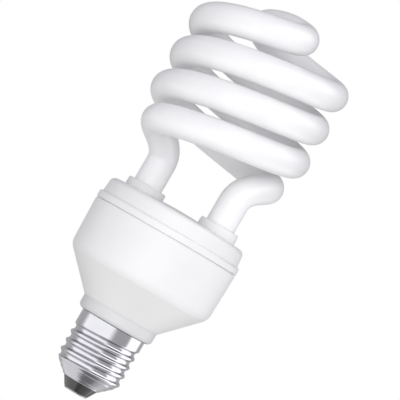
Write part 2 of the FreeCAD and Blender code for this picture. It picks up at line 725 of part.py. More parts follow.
def drive_toroid():
    """The small ring core of the drive transformer."""
    middle_z = BOARD_LOW_Z - RING_DROP
    return turned([
        (RING_INNER_RADIUS, -RING_HEIGHT / 2, RING_ROUNDING),
        (RING_OUTER_RADIUS, -RING_HEIGHT / 2, RING_ROUNDING),
        (RING_OUTER_RADIUS, RING_HEIGHT / 2, RING_ROUNDING),
        (RING_INNER_RADIUS, RING_HEIGHT / 2, RING_ROUNDING),
    ], Vector(RING_PLACE[0], RING_PLACE[1], middle_z))


def drive_winding(first_angle, turns):
    """One winding: down the ring's outside, under it, up its inside and over it, with both ends up to the board."""
    room = THIN_LEAD_RADIUS + RING_WIRE_GAP
    outside = RING_OUTER_RADIUS + room
    inside = RING_INNER_RADIUS - room
    low_z = BOARD_LOW_Z - RING_DROP - RING_HEIGHT / 2 - room
    high_z = BOARD_LOW_Z - RING_DROP + RING_HEIGHT / 2 + room
    centre = Vector(RING_PLACE[0], RING_PLACE[1], 0)
    points = [centre + polar(outside, first_angle, PIN_TOP_Z)]
    for i in range(turns):
        angle = first_angle + i * RING_WIRE_STEP
        if i:
            points.append(centre + polar(outside, angle, high_z))
        points.append(centre + polar(outside, angle, low_z))
        points.append(centre + polar(inside, angle + RING_WIRE_STEP / 2, low_z))
        points.append(centre + polar(inside, angle + RING_WIRE_STEP / 2, high_z))
    last_angle = first_angle + turns * RING_WIRE_STEP
    points.append(centre + polar(outside, last_angle, high_z))
    points.append(centre + polar(outside, last_angle, PIN_TOP_Z))
    return points


def drive_winding_routes():
    """The routes of the three windings, spaced round the ring."""
    routes = []
    for i, turns in enumerate(RING_WINDING_TURNS):
        routes.append(drive_winding(i * RING_WINDING_SPACING, turns))
    return routes


# Components

def smoothing_capacitor():
    """The electrolytic can, crimped near its leads."""
    top_z = BOARD_LOW_Z - SMOOTHING_DROP
    crimp_z = top_z - CRIMP_DROP
    can = turned([
        (0, top_z - SMOOTHING_LENGTH, 0),
        (SMOOTHING_RADIUS, top_z - SMOOTHING_LENGTH, SMOOTHING_ROUNDING),
        (SMOOTHING_RADIUS, crimp_z - CRIMP_HALF_HEIGHT, 0),
        (SMOOTHING_RADIUS - CRIMP_DEPTH, crimp_z, 0),
        (SMOOTHING_RADIUS, crimp_z + CRIMP_HALF_HEIGHT, 0),
        (SMOOTHING_RADIUS, top_z, SMOOTHING_ROUNDING),
        (0, top_z, 0),
    ])
    return can.fuse(leads(pair((0.0, 0.0), SMOOTHING_PITCH, Y_AXIS), STOUT_LEAD_RADIUS, top_z))


def transistor_lead_places(y):
    """The places of a transistor's three leads."""
    return [(TRANSISTOR_X, y + step * TRANSISTOR_PITCH) for step in (-1, 0, 1)]


def transistor(y):
    """A flat transistor with its leads up and its screw hole down."""
    top_z = BOARD_LOW_Z - TRANSISTOR_DROP
    body = block(TRANSISTOR_SIZE, Vector(TRANSISTOR_X, y, top_z - TRANSISTOR_SIZE[2] / 2))
    upright = [edge for edge in body.Edges if abs(edge.tangentAt(edge.FirstParameter).z) > 0.5]
    body = body.makeChamfer(TRANSISTOR_CHAMFER, upright)
    hole_z = top_z - TRANSISTOR_SIZE[2] + TRANSISTOR_HOLE_RISE
    hole_start = Vector(TRANSISTOR_X - TRANSISTOR_SIZE[0] / 2, y, hole_z)
    body = body.cut(Part.makeCylinder(TRANSISTOR_HOLE_RADIUS, TRANSISTOR_SIZE[0], hole_start, X_AXIS))
    length = PIN_TOP_Z - top_z
    size = (TRANSISTOR_LEAD[0], TRANSISTOR_LEAD[1], length)
    legs = [block(size, Vector(x, lead_y, top_z + length / 2)) for x, lead_y in transistor_lead_places(y)]
    return body.fuse(legs)


def film_capacitor(x, height):
    """A dipped film capacitor, a rounded block with two leads."""
    top_z = BOARD_LOW_Z - FILM_DROP
    body = block((FILM_WIDTH, FILM_THICKNESS, height), Vector(x, FILM_Y, top_z - height / 2))
    body = body.makeFillet(FILM_ROUNDING, body.Edges)
    return body.fuse(leads(pair((x, FILM_Y), FILM_PITCH), THIN_LEAD_RADIUS, top_z - FILM_ROUNDING))


def disc(place, radius, thickness, drop, pitch, facing):
    """A round disc on edge, with two leads up from it."""
    middle_z = BOARD_LOW_Z - drop - radius
    body = turned([
        (0, -thickness / 2, 0),
        (radius, -thickness / 2, DISC_ROUNDING),
        (radius, thickness / 2, DISC_ROUNDING),
        (0, thickness / 2, 0),
    ], Vector(place[0], place[1], middle_z), facing)
    along = facing.cross(AXIS)
    return body.fuse(leads(pair(place, pitch, along), THIN_LEAD_RADIUS, middle_z))


def filter_choke_core():
    """The drum core with its two pins."""
    top_z = BOARD_LOW_Z - DRUM_DROP
    low_z = top_z - DRUM_LENGTH
    core = turned([
        (0, low_z, 0),
        (DRUM_RADIUS, low_z, 0),
        (DRUM_RADIUS, low_z + DRUM_FLANGE, 0),
        (DRUM_CORE_RADIUS, low_z + DRUM_FLANGE, 0),
        (DRUM_CORE_RADIUS, top_z - DRUM_FLANGE, 0),
        (DRUM_RADIUS, top_z - DRUM_FLANGE, 0),
        (DRUM_RADIUS, top_z, 0),
        (0, top_z, 0),
    ], Vector(DRUM_PLACE[0], DRUM_PLACE[1], 0))
    return core.fuse(leads(pair(DRUM_PLACE, DRUM_PITCH), THIN_LEAD_RADIUS, top_z))


def filter_choke_winding():
    """The wire between the drum's flanges."""
    top_z = BOARD_LOW_Z - DRUM_DROP - DRUM_FLANGE - WINDING_GAP
    low_z = BOARD_LOW_Z - DRUM_DROP - DRUM_LENGTH + DRUM_FLANGE + WINDING_GAP
    outer = cylinder(DRUM_WINDING_RADIUS, low_z, top_z, DRUM_PLACE)
    return outer.cut(cylinder(DRUM_CORE_RADIUS + WINDING_GAP, low_z, top_z, DRUM_PLACE))


def on_wire(place, radius, length, spread, drop, lead_radius, along):
    """A round body lying below the board, on a wire whose ends are bent up through it."""
    middle = Vector(place[0], place[1], BOARD_LOW_Z - drop)
    ends = [middle - along * (spread / 2), middle + along * (spread / 2)]
    tops = [Vector(end.x, end.y, PIN_TOP_Z) for end in ends]
    wire = swept([tops[0], ends[0], ends[1], tops[1]], lead_radius, LEAD_BEND)
    return wire.fuse(Part.makeCylinder(radius, length, middle - along * (length / 2), along))


def fuse_resistor():
    """A resistor that stands on end, with one lead looped back up beside it."""
    top_z = BOARD_LOW_Z - FUSE_DROP
    low_z = top_z - FUSE_LENGTH
    body = cylinder(FUSE_RADIUS, low_z, top_z, FUSE_PLACE)
    beside = (FUSE_PLACE[0] + FUSE_PITCH, FUSE_PLACE[1])
    loop_z = low_z - FUSE_LOOP
    wire = swept([
        Vector(FUSE_PLACE[0], FUSE_PLACE[1], PIN_TOP_Z),
        Vector(FUSE_PLACE[0], FUSE_PLACE[1], loop_z),
        Vector(beside[0], beside[1], loop_z),
        Vector(beside[0], beside[1], PIN_TOP_Z),
    ], THIN_LEAD_RADIUS, LEAD_BEND)
    return body.fuse(wire)


def filament_posts():
    """For each of the tube's four wires: where it leaves the foot, and where its post stands on the board."""
    places = []
    for leg in leg_places():
        across = AXIS.cross(leg).normalize()
        for side in (-1, 1):
            places.append((leg + across * (side * FILAMENT_SPREAD), leg + across * (side * POST_OFFSET), across * side))
    return places


def square_post(place, across, side, low, high):
    """A square post, turned to face the wire that comes to it."""
    post = block((side, side, high - low), Vector(0, 0, (low + high) / 2))
    post.rotate(ORIGIN, AXIS, math.degrees(math.atan2(across.y, across.x)))
    post.translate(Vector(place.x, place.y, 0))
    return post


def wire_posts():
    """The four square posts that the tube's wires are wound on."""
    top_z = BOARD_TOP_Z + POST_HEIGHT
    return [square_post(post, across, POST_SIDE, BOARD_LOW_Z, top_z) for _, post, across in filament_posts()]


def filament_leads():
    """The four wires from the tube's feet to the posts."""
    wires = []
    for start, post, across in filament_posts():
        turn_z = TUBE_FOOT_Z - FILAMENT_DROP
        end = post - across * (POST_SIDE / 2)
        wires.append(swept([
            Vector(start.x, start.y, TUBE_FOOT_Z),
            Vector(start.x, start.y, turn_z),
            Vector(end.x, end.y, turn_z),
        ], THIN_LEAD_RADIUS, FILAMENT_BEND))
    return wires


def contact_lead():
    """The wire from the board, past the capacitor and through the insulator to the centre contact."""
    turn_z = STUB_LOW_Z - LEAD_LOW_GAP
    beside = polar(SUPPLY_WIRE_PLACE, CONTACT_LEAD_ANGLE)
    return swept([
        Vector(beside.x, beside.y, PIN_TOP_Z),
        Vector(beside.x, beside.y, turn_z),
        Vector(0, 0, turn_z - CONTACT_LEAD_DIP),
        Vector(0, 0, CONTACT_THICKNESS),
    ], SUPPLY_WIRE_RADIUS, SUPPLY_BEND)


def shell_lead():
    """The wire from the board, past the capacitor and out under the stub to the screw shell."""
    turn_z = STUB_LOW_Z - LEAD_LOW_GAP
    beside = polar(SUPPLY_WIRE_PLACE, SHELL_LEAD_ANGLE)
    end = polar(SHELL_INNER_RADIUS - CEMENT_GAP, SHELL_LEAD_ANGLE)
    return swept([
        Vector(beside.x, beside.y, PIN_TOP_Z),
        Vector(beside.x, beside.y, turn_z),
        Vector(end.x, end.y, turn_z),
    ], SUPPLY_WIRE_RADIUS, (end - beside).Length / 2)


def hole_places():
    """Each round hole in the board, as its place and the radius of what passes through it."""
    holes = []
    holes += [(place, STOUT_LEAD_RADIUS) for place in pair((0.0, 0.0), SMOOTHING_PITCH, Y_AXIS)]
    for y in (-TRANSISTOR_Y, TRANSISTOR_Y):
        reach = math.hypot(*TRANSISTOR_LEAD) / 2
        holes += [(place, reach) for place in transistor_lead_places(y)]
    for angle in (CONTACT_LEAD_ANGLE, SHELL_LEAD_ANGLE):
        wire = polar(SUPPLY_WIRE_PLACE, angle)
        holes.append(((wire.x, wire.y), SUPPLY_WIRE_RADIUS))
    for place in DIODE_PLACES:
        holes += [(lead, STOUT_LEAD_RADIUS) for lead in pair(place, DIODE_SPREAD, Y_AXIS)]
    thin = choke_pin_places()
    for points in drive_winding_routes():
        thin += [(points[0].x, points[0].y), (points[-1].x, points[-1].y)]
    thin += pair((RESONANT_X, FILM_Y), FILM_PITCH)
    thin += pair((BLOCKING_X, FILM_Y), FILM_PITCH)
    thin += pair(START_PLACE, START_PITCH)
    thin += pair(THERMISTOR_PLACE, THERMISTOR_PITCH, Y_AXIS)
    thin += pair(DRUM_PLACE, DRUM_PITCH)
    thin += pair(DIAC_PLACE, DIAC_SPREAD)
    for place in RESISTOR_PLACES:
        thin += pair(place, RESISTOR_SPREAD)
    thin += [FUSE_PLACE, (FUSE_PLACE[0] + FUSE_PITCH, FUSE_PLACE[1])]
    return holes + [(place, THIN_LEAD_RADIUS) for place in thin]


def circuit_board():
    """The round board, with a hole for every lead and a square one for every post."""
    holes = [cylinder(radius + PIN_GAP, BOARD_LOW_Z, BOARD_TOP_Z, place) for place, radius in hole_places()]
    side = POST_SIDE + 2 * PIN_GAP
    for _, post, across in filament_posts():
        holes.append(square_post(post, across, side, BOARD_LOW_Z, BOARD_TOP_Z))
    return cylinder(BOARD_RADIUS, BOARD_LOW_Z, BOARD_TOP_Z).cut(holes)


os.makedirs("parts", exist_ok=True)
save("glass_tube", glass_tube())
save("tube_cement", tube_cement())
save("cover", cover())
save("housing", housing())
save("screw_shell", screw_shell())
save("insulator", insulator())
save("centre_contact", centre_contact())
save("circuit_board", circuit_board())
save("smoothing_capacitor", smoothing_capacitor())
save("choke_core_front", choke_core(-1))
save("choke_core_back", choke_core(1))
save("choke_bobbin", choke_bobbin())
save("choke_winding", choke_winding())
save("choke_pins", leads(choke_pin_places(), THIN_LEAD_RADIUS, BOARD_LOW_Z - CHOKE_PIN_DEPTH))
save("drive_toroid", drive_toroid())
save("drive_windings", [swept(points, THIN_LEAD_RADIUS, RING_WIRE_BEND) for points in drive_winding_routes()])
save("transistor_front", transistor(-TRANSISTOR_Y))
save("transistor_back", transistor(TRANSISTOR_Y))
save("resonant_capacitor", film_capacitor(RESONANT_X, RESONANT_HEIGHT))
save("blocking_capacitor", film_capacitor(BLOCKING_X, BLOCKING_HEIGHT))
save("start_capacitor", disc(START_PLACE, START_RADIUS, START_THICKNESS, START_DROP, START_PITCH, Y_AXIS))
save("preheat_thermistor", disc(THERMISTOR_PLACE, THERMISTOR_RADIUS, THERMISTOR_THICKNESS, THERMISTOR_DROP,
                                THERMISTOR_PITCH, X_AXIS))
save("filter_choke_core", filter_choke_core())
save("filter_choke_winding", filter_choke_winding())
save("rectifier_diodes", [on_wire(place, DIODE_RADIUS, DIODE_LENGTH, DIODE_SPREAD, DIODE_DROP, STOUT_LEAD_RADIUS,
                                  Y_AXIS) for place in DIODE_PLACES])
save("diac", on_wire(DIAC_PLACE, DIAC_RADIUS, DIAC_LENGTH, DIAC_SPREAD, RESISTOR_DROP, THIN_LEAD_RADIUS, X_AXIS))
save("resistors", [on_wire(place, RESISTOR_RADIUS, RESISTOR_LENGTH, RESISTOR_SPREAD, RESISTOR_DROP,
                           THIN_LEAD_RADIUS, X_AXIS) for place in RESISTOR_PLACES])
save("fuse_resistor", fuse_resistor())
save("wire_posts", wire_posts())
save("filament_leads", filament_leads())
save("contact_lead", contact_lead())
save("shell_lead", shell_lead())
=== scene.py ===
"""Looks of a spiral energy saving bulb: coiled white glass tube, white moulded casing, nickel screw cap."""
import math

import bmesh
import bpy
from mathutils import Matrix, Vector


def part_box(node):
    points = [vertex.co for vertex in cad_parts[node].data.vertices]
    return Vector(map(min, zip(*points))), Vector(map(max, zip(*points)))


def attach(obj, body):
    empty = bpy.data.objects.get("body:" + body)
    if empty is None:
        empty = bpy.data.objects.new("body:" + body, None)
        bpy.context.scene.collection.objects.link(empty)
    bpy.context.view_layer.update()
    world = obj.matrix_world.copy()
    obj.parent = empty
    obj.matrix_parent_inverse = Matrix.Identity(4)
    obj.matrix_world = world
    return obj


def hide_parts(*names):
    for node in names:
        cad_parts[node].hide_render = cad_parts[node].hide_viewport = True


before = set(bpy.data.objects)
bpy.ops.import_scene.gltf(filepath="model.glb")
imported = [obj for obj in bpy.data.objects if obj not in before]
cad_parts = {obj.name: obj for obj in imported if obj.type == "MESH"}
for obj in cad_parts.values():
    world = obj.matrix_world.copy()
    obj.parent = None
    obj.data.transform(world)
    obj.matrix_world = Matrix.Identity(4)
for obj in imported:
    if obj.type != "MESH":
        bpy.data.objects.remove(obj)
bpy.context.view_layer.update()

# Glass tube
# One glass tube, 11.6 mm across, bent hot round a former into two strands that meet over the top. It is
# coated inside with white phosphor, so it reads as soft white under a smooth clear skin, and it is cemented
# into the cover's two collars. Lengths are in metres and angles in degrees round the lamp's axis.
scene = bpy.context.scene
MM = 0.001
TUBE_RADIUS = 5.78 * MM
TUBE_SIDES = 64
COIL_RADIUS = 27.55 * MM
COIL_PITCH = 28.37 * MM
COIL_SLOPE = COIL_PITCH / (2 * math.pi * COIL_RADIUS)
COIL_START_ANGLE = 42.0
COIL_LEFT_ANGLE = 540.0
COIL_LEFT_DROP = 19.03 * MM
COIL_STEP = 3.0
LEG_RADIUS = 17.75 * MM
LEG_ANGLE = -30.0
LEG_STRAIGHT = 23.1 * MM
LEG_STEPS = 6
BEND_PULL_AT_LEG = 10.8 * MM
BEND_PULL_AT_COIL = 16.3 * MM
BEND_STEPS = 24
BRIDGE_LEAVE_ANGLE = 195.0
BRIDGE_HEADING = 127.0
BRIDGE_BEND_RADIUS = 11.1 * MM
BRIDGE_HALF_STRAIGHT = 8.9 * MM
BRIDGE_SLOPE = 0.2
BRIDGE_STEP = 1.4 * MM
PHOSPHOR_DULL = (0.855, 0.855, 0.86)
PHOSPHOR_BRIGHT = (0.885, 0.885, 0.88)
PHOSPHOR_CLOUDS = 90.0
GLASS_ROUGHNESS = 0.34
GLASS_SPECULAR = 0.35
CLEAR_SKIN = 0.2
CLEAR_SKIN_ROUGHNESS = 0.12
CLEAR_SKIN_IOR = 1.5
TINT_START = 0.35
TINT_END = 0.65
CLOUD_SOFT, CLOUD_EVEN, CLOUD_FINE = 2.0, 3.0, 4.0

tube_low, tube_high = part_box("glass_tube")
FOOT_Z = tube_low[2]
BRIDGE_Z = tube_high[2] - TUBE_RADIUS
COIL_LEFT_Z = tube_high[2] - COIL_LEFT_DROP


def from_axis(distance, degrees, height=0.0):
    """A point at a distance and an angle from the lamp's axis."""
    angle = math.radians(degrees)
    return Vector((distance * math.cos(angle), distance * math.sin(angle), height))


def coil_point(degrees):
    """The coil's centreline at an angle counted on through its turns."""
    climb = COIL_PITCH * (degrees - COIL_LEFT_ANGLE) / 360.0
    return from_axis(COIL_RADIUS, degrees, COIL_LEFT_Z + climb)


def leg_points():
    """The straight leg, and the smooth bend from it to the coil's start."""
    foot = from_axis(LEG_RADIUS, LEG_ANGLE, FOOT_Z)
    top = foot + Vector((0, 0, LEG_STRAIGHT))
    end = coil_point(COIL_START_ANGLE)
    heading = (from_axis(1.0, COIL_START_ANGLE + 90.0) + Vector((0, 0, COIL_SLOPE))).normalized()
    poles = (top, top + Vector((0, 0, BEND_PULL_AT_LEG)), end - heading * BEND_PULL_AT_COIL, end)
    points = [foot.lerp(top, i / LEG_STEPS) for i in range(LEG_STEPS)]
    for i in range(BEND_STEPS):
        t = i / BEND_STEPS
        weights = ((1 - t) ** 3, 3 * t * (1 - t) ** 2, 3 * t ** 2 * (1 - t), t ** 3)
        points.append(sum((pole * weight for pole, weight in zip(poles, weights)), Vector()))
    return points


def bridge_points():
    """From the coil to the axis: a wide arc, a tight arc and a straight, rising until it is level."""
    bend_end = from_axis(-BRIDGE_HALF_STRAIGHT, BRIDGE_HEADING)
    tight_centre = bend_end + from_axis(BRIDGE_BEND_RADIUS, BRIDGE_HEADING + 90.0)
    leave = from_axis(1.0, BRIDGE_LEAVE_ANGLE)
    room = COIL_RADIUS - BRIDGE_BEND_RADIUS
    shift = (room ** 2 - tight_centre.length_squared) / (2 * (room - leave.dot(tight_centre)))
    wide_centre = leave * shift
    wide_radius = COIL_RADIUS - shift
    across = tight_centre - wide_centre
    meeting = math.degrees(math.atan2(across.y, across.x)) % 360.0
    stop = BRIDGE_HEADING + 270.0
    wide_length = math.radians(meeting - BRIDGE_LEAVE_ANGLE) * wide_radius
    bend_length = math.radians(stop - meeting) * BRIDGE_BEND_RADIUS
    tight_length = bend_length + BRIDGE_HALF_STRAIGHT
    leave_z = coil_point(360.0 + BRIDGE_LEAVE_ANGLE).z
    meeting_z = leave_z + 0.5 * (COIL_SLOPE + BRIDGE_SLOPE) * wide_length
    rise = BRIDGE_Z - meeting_z
    count = round((wide_length + tight_length) / BRIDGE_STEP)
    points = []
    for i in range(count):
        run = (wide_length + tight_length) * i / count
        if run < wide_length:
            share = run / wide_length
            turned = BRIDGE_LEAVE_ANGLE + (meeting - BRIDGE_LEAVE_ANGLE) * share
            place = wide_centre + from_axis(wide_radius, turned)
            steepening = (BRIDGE_SLOPE - COIL_SLOPE) * share ** 2 / 2
            place.z = leave_z + wide_length * (COIL_SLOPE * share + steepening)
        else:
            past = run - wide_length
            if past < bend_length:
                turned = meeting + (stop - meeting) * past / bend_length
                place = tight_centre + from_axis(BRIDGE_BEND_RADIUS, turned)
            else:
                place = bend_end * (1 - (past - bend_length) / BRIDGE_HALF_STRAIGHT)
            share = past / tight_length
            levelling = share ** 3 - 2 * share ** 2 + share
            climb = rise * (3 * share ** 2 - 2 * share ** 3)
            place.z = meeting_z + BRIDGE_SLOPE * tight_length * levelling + climb
        points.append(place)
    return points


def strand_points():
    """One strand, from its foot to just short of the axis."""
    turn = 360.0 + BRIDGE_LEAVE_ANGLE - COIL_START_ANGLE
    count = round(turn / COIL_STEP)
    coil = [coil_point(COIL_START_ANGLE + turn * i / count) for i in range(count)]
    return leg_points() + coil + bridge_points()


def new_finish(name, colour, roughness, metallic=0.0):
    """A finish with its shader set, its tree to add to, and the socket that gives places on the piece."""
    material = bpy.data.materials.new(name)
    material.use_nodes = True
    tree = material.node_tree
    shader = next(node for node in tree.nodes if node.type == "BSDF_PRINCIPLED")
    shader.inputs["Base Color"].default_value = (*colour, 1.0)
    shader.inputs["Roughness"].default_value = roughness
    shader.inputs["Metallic"].default_value = metallic
    places = tree.nodes.new("ShaderNodeTexCoord").outputs["Object"]
    return material, tree, shader, places


def clouds(tree, places, to_the_metre, detail, stretch=(1, 1, 1)):
    """A cloudy pattern on the piece, with so many clouds to the metre."""
    mapping = tree.nodes.new("ShaderNodeMapping")
    mapping.inputs["Scale"].default_value = stretch
    tree.links.new(places, mapping.inputs["Vector"])
    pattern = tree.nodes.new("ShaderNodeTexNoise")
    pattern.inputs["Scale"].default_value = to_the_metre
    pattern.inputs["Detail"].default_value = detail
    tree.links.new(mapping.outputs["Vector"], pattern.inputs["Vector"])
    return pattern.outputs["Fac"]


def tinted(tree, pattern, low, high):
    """Turns a pattern into a blend from one colour to another."""
    blend = tree.nodes.new("ShaderNodeValToRGB")
    first, last = blend.color_ramp.elements
    first.position, first.color = TINT_START, (*low, 1.0)
    last.position, last.color = TINT_END, (*high, 1.0)
    tree.links.new(pattern, blend.inputs["Fac"])
    return blend.outputs["Color"]


def between(tree, pattern, low, high):
    """Turns a pattern into a number between two values."""
    span = tree.nodes.new("ShaderNodeMapRange")
    span.inputs["To Min"].default_value = low
    span.inputs["To Max"].default_value = high
    tree.links.new(pattern, span.inputs["Value"])
    return span.outputs["Result"]


def grained(tree, shader, pattern, depth):
    """Gives the surface a fine grain from a pattern, of a depth in metres."""
    bump = tree.nodes.new("ShaderNodeBump")
    bump.inputs["Strength"].default_value = 1.0
    bump.inputs["Distance"].default_value = depth
    tree.links.new(pattern, bump.inputs["Height"])
    tree.links.new(bump.outputs["Normal"], shader.inputs["Normal"])


def coated_glass():
    """White phosphor behind a smooth clear wall."""
    material, tree, shader, places = new_finish("coated_glass", PHOSPHOR_BRIGHT, GLASS_ROUGHNESS)
    cloud = clouds(tree, places, PHOSPHOR_CLOUDS, CLOUD_FINE)
    tree.links.new(tinted(tree, cloud, PHOSPHOR_DULL, PHOSPHOR_BRIGHT), shader.inputs["Base Color"])
    shader.inputs["Specular IOR Level"].default_value = GLASS_SPECULAR
    shader.inputs["Coat Weight"].default_value = CLEAR_SKIN
    shader.inputs["Coat Roughness"].default_value = CLEAR_SKIN_ROUGHNESS
    shader.inputs["Coat IOR"].default_value = CLEAR_SKIN_IOR
    return material


def tube_sweep(material):
    """The tree that sweeps the tube's round section along its path and closes its two feet."""
    tree = bpy.data.node_groups.new("tube_sweep", "GeometryNodeTree")
    sockets = tree.interface
    sockets.new_socket("Path", in_out="INPUT", socket_type="NodeSocketGeometry")
    radius = sockets.new_socket("Tube Radius", in_out="INPUT", socket_type="NodeSocketFloat")
    sides = sockets.new_socket("Sides", in_out="INPUT", socket_type="NodeSocketInt")
    sockets.new_socket("Tube", in_out="OUTPUT", socket_type="NodeSocketGeometry")
    entry = tree.nodes.new("NodeGroupInput")
    leave = tree.nodes.new("NodeGroupOutput")
    ring = tree.nodes.new("GeometryNodeCurvePrimitiveCircle")
    sweep = tree.nodes.new("GeometryNodeCurveToMesh")
    sweep.inputs["Fill Caps"].default_value = True
    smooth = tree.nodes.new("GeometryNodeSetShadeSmooth")
    realize = tree.nodes.new("GeometryNodeRealizeInstances")
    paint = tree.nodes.new("GeometryNodeSetMaterial")
    paint.inputs["Material"].default_value = material
    tree.links.new(entry.outputs["Path"], sweep.inputs["Curve"])
    tree.links.new(entry.outputs["Tube Radius"], ring.inputs["Radius"])
    tree.links.new(entry.outputs["Sides"], ring.inputs["Resolution"])
    tree.links.new(ring.outputs["Curve"], sweep.inputs["Profile Curve"])
    tree.links.new(sweep.outputs["Mesh"], smooth.inputs["Geometry"])
    tree.links.new(smooth.outputs["Geometry"], realize.inputs["Geometry"])
    tree.links.new(realize.outputs["Geometry"], paint.inputs["Geometry"])
    tree.links.new(paint.outputs["Geometry"], leave.inputs["Tube"])
    return tree, radius.identifier, sides.identifier


def tube_path(points):
    """The tube's centreline, as straight runs so short that they read as smooth."""
    data = bpy.data.curves.new("tube_path", "CURVE")
    data.dimensions = "3D"
    data.twist_mode = "MINIMUM"
    spline = data.splines.new("POLY")
    spline.points.add(len(points) - 1)
    for point, place in zip(spline.points, points):
        point.co = (*place, 1.0)
    path = bpy.data.objects.new("tube_path", data)
    scene.collection.objects.link(path)
    return path


def swept_tube(path, name):
    """The tube that the sweep makes of its path, as a plain mesh object in place of the path."""
    evaluated = path.evaluated_get(bpy.context.evaluated_depsgraph_get())
    mesh = bpy.data.meshes.new_from_object(evaluated)
    mesh.name = name
    bpy.data.objects.remove(path)
    tube = bpy.data.objects.new(name, mesh)
    scene.collection.objects.link(tube)
    return tube


strand = strand_points()
other_strand = [Vector((-point.x, -point.y, point.z)) for point in reversed(strand)]
path = tube_path(strand + [Vector((0, 0, BRIDGE_Z))] + other_strand)
sweep_tree, radius_socket, sides_socket = tube_sweep(coated_glass())
sweep_modifier = path.modifiers.new("sweep", "NODES")
sweep_modifier.node_group = sweep_tree
sweep_modifier[radius_socket] = TUBE_RADIUS
sweep_modifier[sides_socket] = TUBE_SIDES
glass = swept_tube(path, "glass_spiral")
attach(glass, "root")
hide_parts("glass_tube")

# Casing
# Two mouldings in white flame-proof plastic: the cover with its collars and rim band, and the housing with
# its cone and neck. They snap together at a fine shadow line. Their skin is smooth from the mould, a little
# duller than glass. The neck is painted darker as painted shade under the casing, and its foot over the cap
# darker still as a painted shadow; these tones change at shares of the neck's height above the cap.
NECK_HEIGHT = 6.0 * MM
# Painted shade: the joint and neck tones darken the neck's foot and the neck below the casing.
JOINT_PAINTED_SHADE = (0.10, 0.10, 0.105)
NECK_PAINTED_SHADE = (0.64, 0.64, 0.645)
CASING_TONE = (0.80, 0.80, 0.797)
NECK_SHADE_STOPS = ((0.02, JOINT_PAINTED_SHADE), (0.08, NECK_PAINTED_SHADE), (0.78, NECK_PAINTED_SHADE), (0.92, CASING_TONE))
FLOW_DULL = (0.975, 0.975, 0.975)
FLOW_BRIGHT = (1.0, 1.0, 0.995)
FLOW_CLOUDS = 60.0
SKIN_GRAINS = 2600.0
SKIN_DEPTH = 0.006 * MM
CASING_ROUGHNESS = (0.38, 0.46)
CASING_SPECULAR = 0.35
MIX_FIRST, MIX_SECOND, MIX_RESULT = 6, 7, 2

NECK_LOW_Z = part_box("screw_shell")[1][2]


def dress(node, material):
    """Gives a piece from the frame its finish."""
    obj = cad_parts[node]
    obj.data.materials.clear()
    obj.data.materials.append(material)


def mixed(tree, first, second, way="MIX", share=None):
    """Two colours put together: the second in full, or by a share from a pattern."""
    blend = tree.nodes.new("ShaderNodeMix")
    blend.data_type = "RGBA"
    blend.blend_type = way
    blend.inputs["Factor"].default_value = 1.0
    if share is not None:
        tree.links.new(share, blend.inputs["Factor"])
    tree.links.new(first, blend.inputs[MIX_FIRST])
    tree.links.new(second, blend.inputs[MIX_SECOND])
    return blend.outputs[MIX_RESULT]


def casing_tone_with_neck_shade(tree, places):
    """The plastic's tone by height: a painted shadow at the neck's foot over the cap, a neck darkened as
    painted shade, and the casing above it.
    """
    parts = tree.nodes.new("ShaderNodeSeparateXYZ")
    tree.links.new(places, parts.inputs["Vector"])
    height = tree.nodes.new("ShaderNodeMapRange")
    height.inputs["From Min"].default_value = NECK_LOW_Z
    height.inputs["From Max"].default_value = NECK_LOW_Z + NECK_HEIGHT
    tree.links.new(parts.outputs["Z"], height.inputs["Value"])
    tone = tree.nodes.new("ShaderNodeValToRGB")
    stops = tone.color_ramp.elements
    for i, (share, colour) in enumerate(NECK_SHADE_STOPS):
        stop = stops[i] if i < len(stops) else stops.new(share)
        stop.position, stop.color = share, (*colour, 1.0)
    tree.links.new(height.outputs["Result"], tone.inputs["Fac"])
    return tone.outputs["Color"]


def casing_plastic():
    """White plastic with faint flow clouds and a very fine moulded skin."""
    material, tree, shader, places = new_finish("casing_plastic", CASING_TONE, CASING_ROUGHNESS[0])
    cloud = clouds(tree, places, FLOW_CLOUDS, CLOUD_EVEN)
    flow = tinted(tree, cloud, FLOW_DULL, FLOW_BRIGHT)
    # The neck's darker tones here are painted shade, multiplied into the plastic's flow clouds.
    colour = mixed(tree, casing_tone_with_neck_shade(tree, places), flow, way="MULTIPLY")
    tree.links.new(colour, shader.inputs["Base Color"])
    grained(tree, shader, clouds(tree, places, SKIN_GRAINS, CLOUD_SOFT), SKIN_DEPTH)
    tree.links.new(between(tree, cloud, *CASING_ROUGHNESS), shader.inputs["Roughness"])
    shader.inputs["Specular IOR Level"].default_value = CASING_SPECULAR
    return material


white_plastic = casing_plastic()
dress("cover", white_plastic)
dress("housing", white_plastic)

# Screw shell
# A cap drawn from thin brass sheet and nickel plated, with the right-handed E27 thread rolled into it:
# rounded crests and wider round roots, a plain band above, and a bowl below that closes to a small rim on
# the black glass. The nickel is painted darker on the thread's steep flanks than on its crests and roots:
# painted shade for the dark reflections there.
SHELL_WALL = 0.3 * MM
THREAD_PITCH = 3.629 * MM
THREAD_DEPTH = 1.0 * MM
CREST_ROUNDING = 0.85 * MM
ROOT_AT_RIGHT = 8.4 * MM
LAST_ROOT = 4
RUN_OUT_START = 5.0
RUN_OUT_TURN = 85.0
BOWL_HEIGHT = 5.6 * MM
BOWL_BULGE = 1.96 * MM
BOWL_RING_DEPTH = 0.09 * MM
BOWL_RING_STEP = 1.8 * MM
BOWL_RING_Z = 7.3 * MM
BOWL_RING_FADE = 5.0
RIM_RADIUS = 7.3 * MM
RIM_LIP = 0.42 * MM
RIM_LIP_HEIGHT = 0.85 * MM
AROUND = 180
OUTER_ROWS_TO_TURN = 40
INNER_ROWS_TO_TURN = 12
MERGE_REACH = 0.0001 * MM
FLANK_REACH = 0.01 * MM
FLANK_START = 0.45
FLANK_FULL = 1.25
NICKEL_DULL = (0.55, 0.548, 0.585)
NICKEL_BRIGHT = (0.59, 0.588, 0.625)
